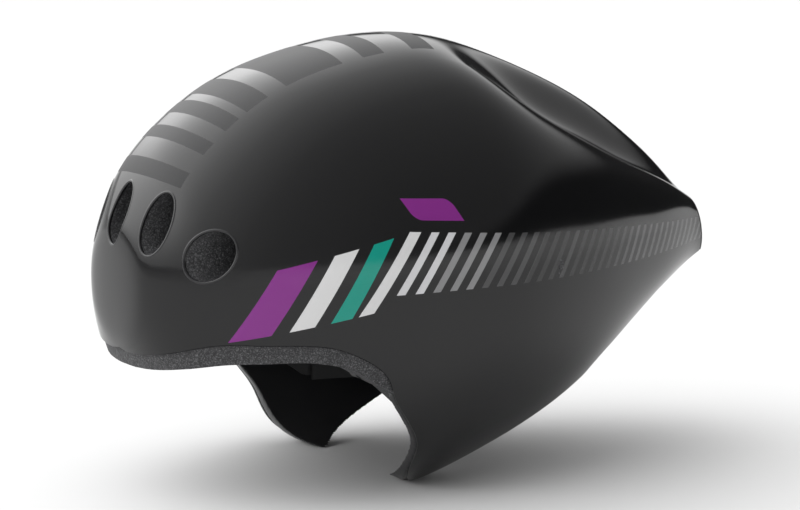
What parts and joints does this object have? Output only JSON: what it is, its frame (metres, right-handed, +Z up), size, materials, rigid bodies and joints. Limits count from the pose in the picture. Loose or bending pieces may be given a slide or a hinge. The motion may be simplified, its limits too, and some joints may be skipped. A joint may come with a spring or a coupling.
{
  "type": "aero time trial helmet",
  "caption": "Long-tailed cycling time trial helmet with ear flaps, five brow vents, foam liner, pads, straps with a chin buckle, and a dial-fit cradle.",
  "frame": {"origin": "centre of the head opening at brow level", "axes": "+X to the nose of the helmet, +Y to the wearer's left, +Z up"},
  "size_m": [0.3476, 0.1972, 0.2222],
  "materials": {
    "painted_shell": "gloss black with printed stripes",
    "bead_foam": "matt expanded bead foam",
    "flap_lining": "satin",
    "pad_cloth": "brushed knit",
    "hook_tape": "hook tape",
    "webbing": "woven webbing",
    "black_plastic": "satin moulded",
    "dial_plastic": "fine texture",
    "keeper_rubber": "matt",
    "steel": "brushed"
  },
  "bodies": {
    "helmet": {"outer_shell": "painted_shell", "foam_front_left": "bead_foam", "foam_front_right": "bead_foam", "foam_crown": "bead_foam", "foam_side_left": "bead_foam", "foam_side_right": "bead_foam", "foam_tail_upper": "bead_foam", "foam_tail_lower": "bead_foam", "ear_panel_left": "flap_lining", "ear_panel_right": "flap_lining", "brow_pad": "pad_cloth", "crown_pad_front": "pad_cloth", "crown_pad_rear": "pad_cloth", "side_pad_left": "pad_cloth", "side_pad_right": "pad_cloth", "pad_dots": "hook_tape", "strap_anchors": "black_plastic", "temple_mount_left": "black_plastic", "temple_mount_right": "black_plastic", "temple_caps": "black_plastic", "hanger_anchor": "black_plastic", "front_strap_left": "webbing", "front_strap_right": "webbing", "rear_strap_left": "webbing", "rear_strap_right": "webbing", "divider_left": "black_plastic", "divider_right": "black_plastic", "chin_strap_left": "webbing", "chin_strap_right": "webbing", "strap_keeper": "keeper_rubber", "chin_pad": "pad_cloth", "buckle_socket": "black_plastic"},
    "latch_left": {"latch_left": "black_plastic"},
    "latch_right": {"latch_right": "black_plastic"},
    "buckle_plug": {"buckle_plug": "black_plastic"},
    "cradle": {"cradle_frame": "black_plastic", "cradle_cover": "black_plastic", "housing_screws": "steel", "click_spring": "steel", "height_hanger": "black_plastic"},
    "dial": {"fit_dial": "dial_plastic", "dial_pinion": "black_plastic", "dial_clip": "steel"},
    "band_left": {"fit_band_left": "black_plastic", "nape_pad_left": "pad_cloth"},
    "band_right": {"fit_band_right": "black_plastic", "nape_pad_right": "pad_cloth"}
  },
  "joints": [
    {"name": "latch_left_open", "type": "hinge", "parent": "helmet", "child": "latch_left", "pos_m": [0, 0.05928, 0.06551], "axis": [-1, 0, 0], "range_deg": [0, 75]},
    {"name": "latch_right_open", "type": "hinge", "parent": "helmet", "child": "latch_right", "pos_m": [0, -0.05928, 0.06551], "axis": [1, 0, 0], "range_deg": [0, 75]},
    {"name": "buckle_release", "type": "slide", "parent": "helmet", "child": "buckle_plug", "axis": [0, 0, -1], "range_m": [0, 0.012], "deforming": ["chin_strap_right"]},
    {"name": "cradle_tilt", "type": "hinge", "parent": "helmet", "child": "cradle", "pos_m": [0.026, 0, 0.002], "axis": [0, 1, 0], "range_deg": [-5, 5]},
    {"name": "fit_dial_turn", "type": "hinge", "parent": "cradle", "child": "dial", "pos_m": [-0.0926, 0, -0.03], "axis": [1, 0, 0], "range_deg": [-115, 115]},
    {"name": "band_left_draw", "type": "hinge", "parent": "cradle", "child": "band_left", "pos_m": [-0.02, 0, -0.03], "axis": [0, 0, 1], "range_deg": [-6.44, 6.44]},
    {"name": "band_right_draw", "type": "hinge", "parent": "cradle", "child": "band_right", "pos_m": [-0.02, 0, -0.03], "axis": [0, 0, 1], "range_deg": [-6.44, 6.44]}
  ],
  "couplings": [
    {"joint": "band_left_draw", "follows": "fit_dial_turn", "ratio": 0.055954},
    {"joint": "band_right_draw", "follows": "fit_dial_turn", "ratio": -0.055954}
  ]
}
